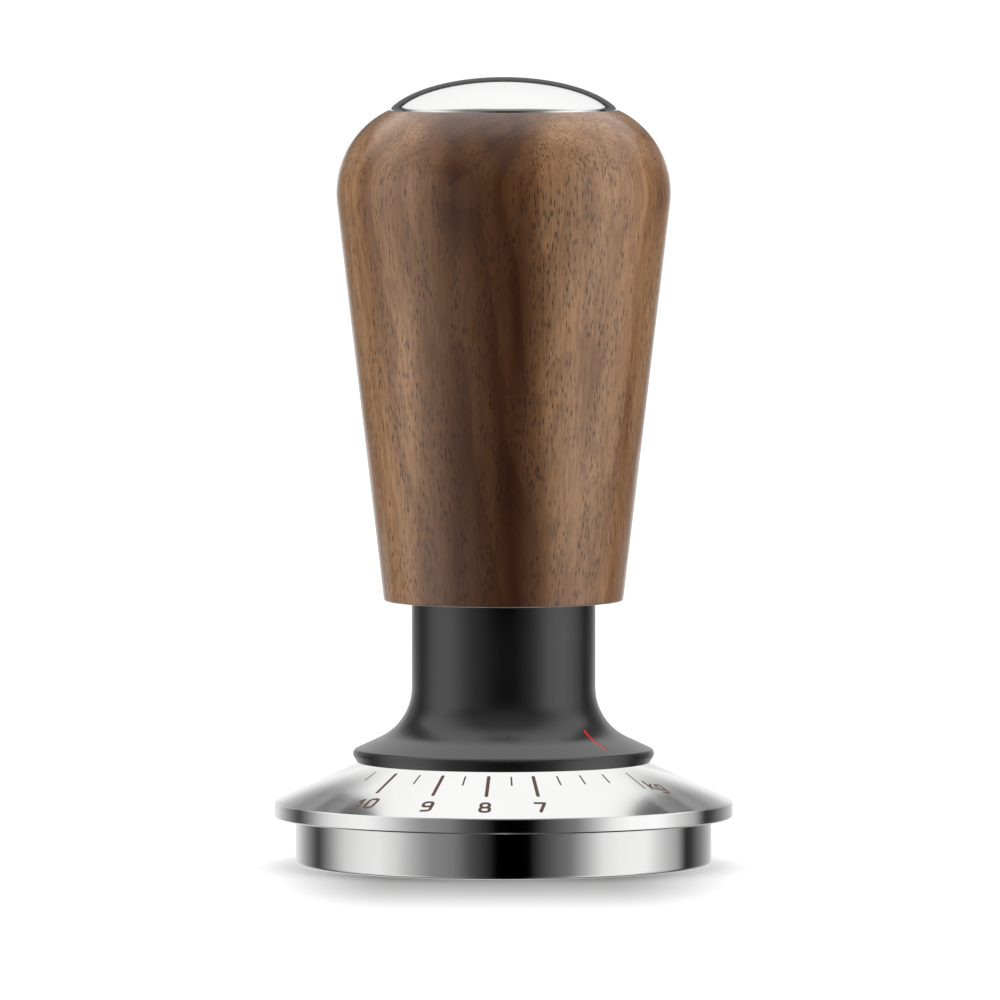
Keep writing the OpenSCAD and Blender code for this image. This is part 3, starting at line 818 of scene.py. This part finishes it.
points, arriving, leaving = collar_profile
outside = points[:, 1] > lip_z
first = int(np.flatnonzero(outside & np.isclose(points[:, 0], pointer_out))[0])
last = int(np.flatnonzero(outside & np.isclose(points[:, 0], pointer_in))[0])
pointer_at = pointer_turn - math.pi / 2
half = math.asin(pointer_w / 2 / pointer_in)
away = (round_angles - pointer_at + math.pi) % (2 * math.pi) - math.pi
free = pointer_at + away[np.abs(away) > 1.6 * half]
columns = np.sort(np.append(free, [pointer_at - half, pointer_at + half]))
column = int(np.searchsorted(columns, pointer_at - half))
turns = np.tile(columns, (len(points), 1))
edge = np.arcsin(pointer_w / 2 / points[first:last + 1, 0])
turns[first:last + 1, column] = pointer_at - edge
turns[first:last + 1, column + 1] = pointer_at + edge
collar = piece("force_collar_turned", *grooved(
    *spun(points, arriving, leaving, turns), points, leaving, len(columns), first, last,
    column, pointer_at), "collar", "collar_black", ["force_collar"])
print("pointer groove at", round(math.degrees(pointer_turn), 1), "degrees from the front")

# %% [markdown]
# The scale is printed on the cone of the flange. A print has a thickness of its own, so each
# mark is a very thin ribbon laid over the cone, half of it sunk in the steel.

# %% Ribbons on the cone
cone_slope = math.radians(25)
rise = math.tan(cone_slope)
radius, height = corners("scale_flange")
rim_top_z = table_z - (rim_rad - radius[np.abs(height - table_z) < 0.01].max()) * rise
ink = 0.015
aim_behind = 9.0


def cone_z(r):
    """Height of the flange's cone at radius r: it rises by tan(slope) times the way in."""
    return rim_top_z + (rim_rad - r) * rise


def ribbon(path, width, closed=False):
    """Cross sections of a ribbon along a path: centres, directions across it with the mitre's
    length, and half widths. Open ends are round, where the half width is that of a circle."""
    path = np.array(path, float)
    if not closed:
        ends = width / 2 * (1 - np.cos(np.linspace(0.15, math.pi / 2, 5)))
        ahead, behind = unit(path[1] - path[0]), unit(path[-2] - path[-1])
        body = path[1:-1]
        start = path[0] + (ends - width / 2)[:, None] * ahead
        finish = (path[-1] + (ends - width / 2)[:, None] * behind)[::-1]
        path = np.concatenate([start, body, finish])
        half = np.full(len(path), width / 2)
        half[:5] = width / 2 * np.sin(np.linspace(0.15, math.pi / 2, 5))
        half[-5:] = half[:5][::-1]
        runs = np.diff(path, axis=0)
        before, after = np.vstack([runs[:1], runs]), np.vstack([runs, runs[-1:]])
    else:
        half = np.full(len(path), width / 2)
        after = np.roll(path, -1, 0) - path
        before = np.roll(after, 1, 0)
    before = before / np.linalg.norm(before, axis=1, keepdims=True)
    after = after / np.linalg.norm(after, axis=1, keepdims=True)
    across = np.stack([-(before + after)[:, 1], (before + after)[:, 0]], 1)
    across /= np.linalg.norm(across, axis=1, keepdims=True)
    mitre = np.stack([-before[:, 1], before[:, 0]], 1)
    across /= np.maximum(np.sum(across * mitre, 1, keepdims=True), 0.5)
    return path, across * half[:, None]


def printed(path, width, turn, r, closed=False):
    """A ribbon on the cone. The path lies in a frame that starts at radius r at an angle from
    the front. Its y runs in towards a point a little behind the axis, its x along the rim."""
    path, across = ribbon(path, width, closed)
    start = r * np.array([math.sin(turn), -math.cos(turn)])
    inward = unit(np.array([0, aim_behind]) - start)
    along = np.array([inward[1], -inward[0]])

    def laid(p, lift):
        flat = start + p[:, :1] * along + p[:, 1:] * inward
        return np.column_stack([flat, cone_z(np.linalg.norm(flat, axis=1)) + lift])

    ring = np.stack([laid(path + across, ink), laid(path - across, ink),
                     laid(path - across, -ink), laid(path + across, -ink)], 1)
    n = len(path)
    k = np.arange(n if closed else n - 1)[:, None]
    j = np.arange(4)[None]
    up, right = (k + 1) % n, (j + 1) % 4
    faces = np.stack([k * 4 + j, up * 4 + j, up * 4 + right, k * 4 + right], 2).reshape(-1, 4)
    if not closed:
        faces = np.concatenate([faces, [[0, 1, 2, 3], [n * 4 - 1, n * 4 - 2, n * 4 - 3,
                                                       n * 4 - 4]]])
    return ring.reshape(-1, 3), faces


print("cone rises to", round(float(cone_z(lip_rad)), 2), "mm under the lip")

# %% [markdown]
# The figures are drawn as a pen would draw them, as rounded paths on a small grid in mm. A
# path is closed where its second value is True.

# %% Figures and letters
def bent(*bends):
    """A path through corners given as x, y and rounding."""
    return profile(*[corner(x, y, float(r)) for x, y, r in bends])[0]


digit_w, digit_h = 1.30, 2.15
soft = 0.42
mid = digit_h * 0.5
digits = {
    "0": [(bent((0, 0, soft), (digit_w, 0, soft), (digit_w, digit_h, soft),
                (0, digit_h, soft)), True)],
    "1": [(bent((0.30, digit_h - 0.42, 0), (0.80, digit_h, 0.02), (0.80, 0, 0)), False)],
    "7": [(bent((0, digit_h, 0), (digit_w, digit_h, 0.02), (0.50, 0, 0)), False)],
    "8": [(bent((0, 0, soft), (digit_w, 0, soft), (digit_w, mid, soft), (0, mid, soft)), True),
          (bent((0.08, mid, soft), (digit_w - 0.08, mid, soft), (digit_w - 0.08, digit_h, soft),
                (0.08, digit_h, soft)), True)],
    "9": [(bent((0, mid, soft), (digit_w, mid, soft), (digit_w, digit_h, soft),
                (0, digit_h, soft)), True),
          (bent((digit_w, digit_h - soft, 0), (digit_w, 0, soft), (0.12, 0, 0)), False)],
}
unit_w, unit_h = 1.05, 2.1
letters = [
    (bent((0, 0, 0), (0, unit_h, 0)), False),
    (bent((unit_w * 0.8, unit_h * 0.66, 0), (0.02, unit_h * 0.30, 0)), False),
    (bent((unit_w * 0.25, unit_h * 0.42, 0), (unit_w * 0.85, 0, 0)), False),
    (bent((1.45, 0, 0.2), (1.45 + unit_w, 0, 0.2), (1.45 + unit_w, unit_h * 0.64, 0.2),
          (1.45, unit_h * 0.64, 0.2)), True),
    (bent((1.45 + unit_w, unit_h * 0.5, 0), (1.45 + unit_w, -unit_h * 0.36, 0.2),
          (1.4, -unit_h * 0.36, 0)), False),
]
print("figures", len(digits), "strokes in kg", len(letters))

# %% [markdown]
# Eleven lines stand half a kilogram apart, each whole kilogram from 7 to 10 longer and
# numbered, and a last line stands before the unit. They are equally spaced as seen from the
# front, so a line's place is the sine of its angle from there.

# %% Scale print
front_step = 0.1442
front_start = 0.0478
heavy, light_line, digit_stroke, unit_stroke = 0.50, 0.24, 0.47, 0.36
line_in, line_out, long_out, unit_out = 21.3, 23.4, 26.1, 25.4
digit_drop, digit_pitch, unit_at = 4.0, digit_w + 0.55, 26.0
unit_line_turn, unit_turn = math.radians(50.1), math.radians(55.5)
whole_at = {10: -0.667, 9: -0.372, 8: -0.0907, 7: 0.181}
marks = []
for k in range(-6, 5):
    kilograms = 7.5 - 0.5 * k
    whole = kilograms in whole_at
    turn = math.asin(whole_at[kilograms] if whole else front_start + front_step * k)
    marks.append(printed([(0, 0), (0, (long_out if whole else line_out) - line_in)],
                         heavy if whole else light_line, turn,
                         long_out if whole else line_out))
    if whole:
        text = str(int(kilograms))
        width = len(text) * digit_w + (len(text) - 1) * 0.75
        for i, figure in enumerate(text):
            shift = np.array([i * digit_pitch - width / 2, -digit_drop])
            for path, closed in digits[figure]:
                marks.append(printed(path + shift, digit_stroke, turn, long_out, closed))
marks.append(printed([(0, 0), (0, unit_out - line_in)], light_line, unit_line_turn, unit_out))
for path, closed in letters:
    marks.append(printed(path + np.array([-1.1, 0]), unit_stroke, unit_turn, unit_at,
                         closed))
first_point = np.cumsum([0] + [len(co) for co, _ in marks])
mesh = bpy.data.meshes.new("scale_print")
mesh.from_pydata((np.concatenate([co for co, _ in marks]) * mm).tolist(), [],
                 np.concatenate([faces + start for (_, faces), start
                                 in zip(marks, first_point)]).tolist())
scale_print = bpy.data.objects.new("scale_print", mesh)
scene.collection.objects.link(scale_print)
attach(scale_print, "base")
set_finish(scale_print, "rubber_black")
print("marks", len(marks), "points", len(mesh.vertices))

# %% [markdown]
# Walnut is dark brown with darker late wood between its rings, and short open pores along
# the grain. Here the block was cut beside the heart of the tree: the rings are circles round
# an axis behind the handle, bent by slow noise, and cutting the cone through them gives the
# arches and stripes. The grain runs up the handle, so every pattern is stretched along it.

# %% Rings, fibre and pores
tree, _, made = group("walnut_figure", [], [("Colour", "Color"), ("Roughness", "Float"),
                                             ("Height", "Float")])
ring_width = 3.4
in_mm = add(tree, "ShaderNodeMapping", Vector=point(tree), Scale=(1000, 1000, 1000))
slow = noise(tree, (60, 60, 14), 3.0, "Color")
drift = add(tree, "ShaderNodeVectorMath", settings={"operation": "MULTIPLY_ADD"},
            n0=slow, n1=(16, 16, 0), n2=in_mm)
x = maths(tree, "ADD", xyz(tree, drift)["X"], 6.0)
y = maths(tree, "ADD", xyz(tree, drift)["Y"], -34.0)
from_heart = maths(tree, "SQRT", maths(tree, "ADD", maths(tree, "MULTIPLY", x, x),
                                       maths(tree, "MULTIPLY", y, y)))
year = maths(tree, "FRACT", maths(tree, "MULTIPLY", from_heart, 1 / ring_width))
late = ranged(tree, year, 0.35, 0.95)
fibre = noise(tree, (2600, 2600, 70), 4.0)
broad = noise(tree, (170, 170, 16), 2.0)
patchy = noise(tree, (500, 500, 60), 2.0)
cells = add(tree, "ShaderNodeTexVoronoi", out="Distance", Scale=1.0, Randomness=1.0, Vector=add(
    tree, "ShaderNodeMapping", Vector=point(tree), Scale=(2800, 2800, 520)))
pore = maths(tree, "MULTIPLY", ranged(tree, cells, 0.42, 0.16), ranged(tree, patchy, 0.34, 0.56))
print("rings", ring_width, "mm wide")

# %% [markdown]
# The colour follows one tone: a little from the late wood, more from broad streaks, and most
# from a dark band up the middle of the front and back. This band is partly the wood's own dark
# heartwood stripe and partly painted shade where the front faces away from the side lamps.
# Fibres and pores are then laid over it, and the pores are sunk in the surface too.

# %% Walnut figure
band = add(tree, "ShaderNodeVectorMath", settings={"operation": "MULTIPLY_ADD"},
           n0=slow, n1=(5, 5, 0), n2=in_mm)
off_band = maths(tree, "ABSOLUTE", maths(tree, "SUBTRACT", xyz(tree, band)["X"], -0.5))
# Partly painted shade: the dark band up the middle of the front and back, where the side lamps
# light least.
heartwood_and_painted_shade = ranged(tree, off_band, 10.5, 4.5)
tone = maths(tree, "ADD", maths(tree, "MULTIPLY", late, 0.08),
             maths(tree, "MULTIPLY", ranged(tree, broad, 0.2, 0.8), 0.40))
tone = maths(tree, "MULTIPLY_ADD", heartwood_and_painted_shade, 0.60, tone)
wood_colour = ramp(tree, tone, (0.0, (0.350, 0.192, 0.094)), (0.40, (0.172, 0.077, 0.030)),
                   (1.0, (0.044, 0.0115, 0.0035)))
wood_colour = mixed(tree, ranged(tree, fibre, 0.35, 0.7, 0.0, 0.40), wood_colour,
                    (0.045, 0.016, 0.006, 1))
wood_colour = mixed(tree, maths(tree, "MULTIPLY", pore, 0.78), wood_colour,
                    (0.022, 0.008, 0.004, 1))
tree.links.new(wood_colour, made.inputs["Colour"])
tree.links.new(ranged(tree, fibre, 0.3, 0.7, 0.34, 0.46), made.inputs["Roughness"])
tree.links.new(maths(tree, "SUBTRACT", maths(tree, "MULTIPLY", fibre, 0.25), pore),
               made.inputs["Height"])
walnut_figure = tree
print("walnut nodes", len(tree.nodes))

# %% [markdown]
# Turned steel keeps very fine rings from the tool. They lie round the axis, so the noise is
# read from radius and height only, and makes the roughness wander from ring to ring.

# %% Turned metal
tree, given, made = group(
    "turned_metal", [("Colour", "Color", grey(0.6)), ("Roughness", "Float", 0.1),
                     ("Spread", "Float", 0.03)], [("Colour", "Color"), ("Roughness", "Float")])
tool_lines = 9000.0
spot = xyz(tree, point(tree))
flat = add(tree, "ShaderNodeCombineXYZ", X=spot["X"], Y=spot["Y"])
lathe = add(tree, "ShaderNodeCombineXYZ", X=maths(tree, "MULTIPLY", length(tree, flat), tool_lines),
            Y=maths(tree, "MULTIPLY", spot["Z"], tool_lines))
lines = add(tree, "ShaderNodeTexNoise", Vector=lathe, Scale=1.0, Detail=2.0)
smear = noise(tree, (90, 90, 90), 4.0)
tree.links.new(mixed(tree, ranged(tree, smear, 0.3, 0.7, 0.0, 0.12), given["Colour"],
                     mixed(tree, 1.0, given["Colour"], grey(0.8), "MULTIPLY")),
               made.inputs["Colour"])
wander = maths(tree, "SUBTRACT", maths(tree, "ADD", lines, smear), 1.0)
tree.links.new(maths(tree, "MULTIPLY_ADD", wander, given["Spread"], given["Roughness"]),
               made.inputs["Roughness"])
turned_metal = tree
print("metal nodes", len(tree.nodes))

# %% [markdown]
# Each finish is a Principled shader. Metals take their colour and roughness from the turned
# metal group. Black, enamel, rubber and ink are plain finishes whose colour wanders a little.
# The walnut has a clear satin coat over its own dull surface.

# %% Finishes
def metal(name, colour, roughness, spread=0.03):
    """A turned metal: the group gives its colour and roughness."""
    made, tree, shader = material(name, Metallic=1.0)
    out = place(tree, turned_metal, Colour=(*colour, 1), Roughness=roughness, Spread=spread)
    tree.links.new(out["Colour"], shader["Base Color"])
    tree.links.new(out["Roughness"], shader["Roughness"])
    return made


def moulded(name, colour, other, roughness, **constants):
    """A plain finish whose colour and roughness wander a little with slow noise."""
    made, tree, shader = material(name, **constants)
    slow = noise(tree, (150, 150, 150), 2.0)
    tree.links.new(mixed(tree, ranged(tree, slow, 0.3, 0.7), (*colour, 1), (*other, 1)),
                   shader["Base Color"])
    tree.links.new(ranged(tree, slow, 0.25, 0.75, roughness * 0.96, roughness * 1.04),
                   shader["Roughness"])
    return made


walnut, tree, shader = material("walnut", Coat_Weight=1.0, Coat_Roughness=0.22, Coat_IOR=1.6,
                                Specular_IOR_Level=0.12)
out = place(tree, walnut_figure)
tree.links.new(out["Colour"], shader["Base Color"])
tree.links.new(out["Roughness"], shader["Roughness"])
tree.links.new(add(tree, "ShaderNodeBump", Height=out["Height"], Distance=0.00004),
               shader["Normal"])
finishes = {
    "walnut": walnut,
    "base_steel": metal("base_steel", (0.86, 0.86, 0.855), 0.09),
    "flange_steel": metal("flange_steel", (0.97, 0.97, 0.965), 0.12),
    "cap_steel": metal("cap_steel", (0.97, 0.97, 0.965), 0.07),
    "collar_black": moulded("collar_black", (0.0055, 0.0054, 0.0053), (0.0070, 0.0068, 0.0066),
                            0.26, Specular_IOR_Level=1.0),
    "pointer_red": moulded("pointer_red", (0.46, 0.007, 0.011), (0.52, 0.010, 0.014), 0.35,
                           Specular_IOR_Level=0.2),
    "machined_steel": metal("machined_steel", (0.62, 0.61, 0.60), 0.28, 0.08),
    "spring_steel": metal("spring_steel", (0.42, 0.41, 0.40), 0.30, 0.06),
    "bronze": metal("bronze", (0.62, 0.42, 0.22), 0.30, 0.06),
    "bearing_polymer": moulded("bearing_polymer", (0.62, 0.60, 0.54), (0.66, 0.64, 0.58), 0.45),
    "rubber_black": moulded("rubber_black", (0.016, 0.016, 0.016), (0.022, 0.022, 0.022), 0.6),
}
scale_ink = moulded("scale_ink", (0.085, 0.052, 0.045), (0.11, 0.068, 0.058), 0.5,
                    Specular_IOR_Level=0.15)

# %% [markdown]
# Each node and new piece takes the finish of its slot in the record.

# %% Put the finishes on
def wear(made, finish):
    """Gives an object one finish for all its faces."""
    made.data.materials.clear()
    made.data.materials.append(finish)


slots = {part["node"]: part["material_slot"] for part in frame["record"]["subparts"]}
for name, node in frame["nodes"].items():
    wear(node, finishes[slots[name]])
for made in (wood, cap, collar):
    wear(made, finishes[made["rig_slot"]])
wear(scale_print, scale_ink)
print("finishes", len(finishes) + 1)

# %% [markdown]
# The flange is a mirror that would show the black neck as a dark bar across the scale. Here
# only the cards and the polished pieces show in reflections, so that bar is left out. The dark
# line of the collar's lip in the steel, and the neck's reflection in the skirt, go with it.

# %% What reflections see
steel = [frame["nodes"][name] for name in ("scale_flange", "tamping_base")] + [cap]
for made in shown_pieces():
    made.visible_glossy = made in steel
print("pieces seen in reflections", len(steel))

# %% [markdown]
# Last, the colours are set to plain display.

# %% Plain display
scene.view_settings.view_transform = "Standard"
